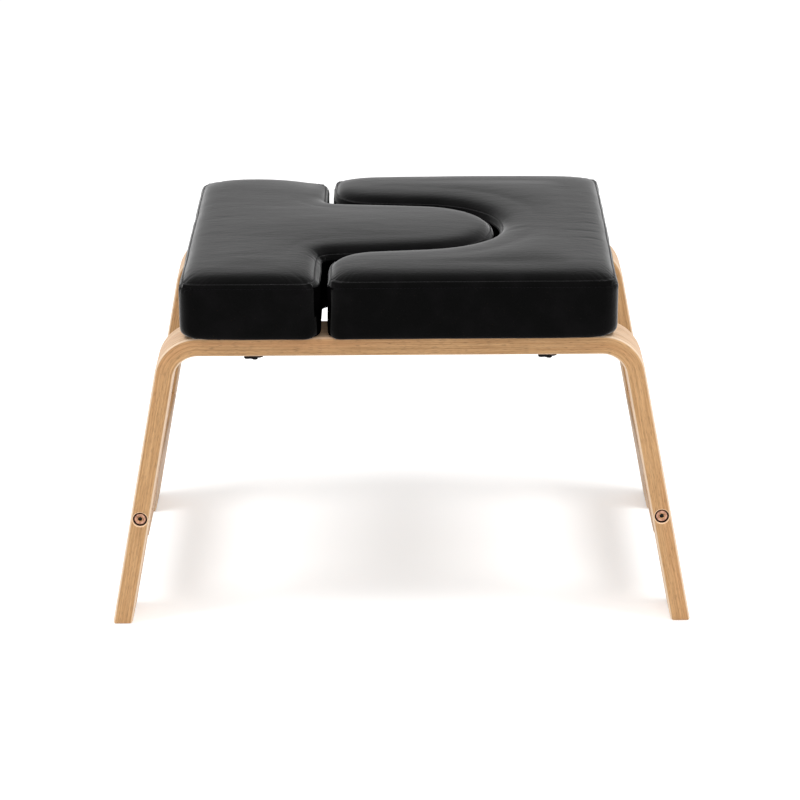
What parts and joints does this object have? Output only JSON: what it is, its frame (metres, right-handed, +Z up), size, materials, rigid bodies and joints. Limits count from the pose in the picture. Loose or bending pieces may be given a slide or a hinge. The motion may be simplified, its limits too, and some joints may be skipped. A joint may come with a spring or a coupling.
{
  "type": "yoga headstand stool",
  "caption": "Low wooden stool for supported headstands, with splayed bent-wood legs and a black padded seat split into a T-shaped pad and a U-shaped pad.",
  "frame": {"origin": "on the floor under the middle of the seat", "axes": "+Z up, +X from the T-shaped pad's head towards the U-shaped pad's closed end, along the bars of both bent frames, +Y from the front frame to the rear frame"},
  "size_m": [0.599, 0.386, 0.3825],
  "materials": {
    "frame_wood": "clear satin lacquer on bent laminated wood",
    "dowel_wood": "plain turned wood",
    "board_plywood": "raw plywood",
    "cover_leather": "black imitation leather with a fine grain",
    "pad_foam": "open foam",
    "lining_cloth": "black non-woven cloth",
    "copper_bolt": "copper-coloured plating",
    "zinc_steel": "zinc-plated steel",
    "black_steel": "blackened steel",
    "knob_plastic": "matt black moulding"
  },
  "bodies": {
    "frame": {"front_frame": "frame_wood", "rear_frame": "frame_wood", "left_crossbar": "frame_wood", "right_crossbar": "frame_wood", "bolt_front_left": "copper_bolt", "barrel_nut_front_left": "zinc_steel", "dowel_front_left": "dowel_wood", "washer_front_left": "black_steel", "bolt_front_right": "copper_bolt", "barrel_nut_front_right": "zinc_steel", "dowel_front_right": "dowel_wood", "washer_front_right": "black_steel", "tee_nut_front_right": "zinc_steel", "bolt_rear_left": "copper_bolt", "barrel_nut_rear_left": "zinc_steel", "dowel_rear_left": "dowel_wood", "washer_rear_left": "black_steel", "bolt_rear_right": "copper_bolt", "barrel_nut_rear_right": "zinc_steel", "dowel_rear_right": "dowel_wood", "washer_rear_right": "black_steel", "tee_nut_rear_right": "zinc_steel", "u_pad_cover": "cover_leather", "u_pad_foam": "pad_foam", "u_pad_board": "board_plywood", "u_pad_lining": "lining_cloth"},
    "t_pad": {"tee_nut_front_left": "zinc_steel", "tee_nut_rear_left": "zinc_steel", "t_pad_cover": "cover_leather", "t_pad_foam": "pad_foam", "t_pad_board": "board_plywood", "t_pad_lining": "lining_cloth"},
    "knob_front_left": {"knob_front_left": "knob_plastic", "knob_stud_front_left": "black_steel"},
    "knob_front_right": {"knob_front_right": "knob_plastic", "knob_stud_front_right": "black_steel"},
    "knob_rear_left": {"knob_rear_left": "knob_plastic", "knob_stud_rear_left": "black_steel"},
    "knob_rear_right": {"knob_rear_right": "knob_plastic", "knob_stud_rear_right": "black_steel"}
  },
  "joints": [
    {"name": "t_pad_lift", "type": "slide", "parent": "frame", "child": "t_pad", "axis": [0, 0, 1], "range_m": [0, 0.08]},
    {"name": "knob_front_left_turn", "type": "hinge", "parent": "frame", "child": "knob_front_left", "pos_m": [-0.149, -0.16, 0.288], "axis": [0, 0, 1], "continuous": true},
    {"name": "knob_front_right_turn", "type": "hinge", "parent": "frame", "child": "knob_front_right", "pos_m": [0.149, -0.16, 0.288], "axis": [0, 0, 1], "continuous": true},
    {"name": "knob_rear_left_turn", "type": "hinge", "parent": "frame", "child": "knob_rear_left", "pos_m": [-0.149, 0.15, 0.288], "axis": [0, 0, 1], "continuous": true},
    {"name": "knob_rear_right_turn", "type": "hinge", "parent": "frame", "child": "knob_rear_right", "pos_m": [0.149, 0.15, 0.288], "axis": [0, 0, 1], "continuous": true}
  ]
}
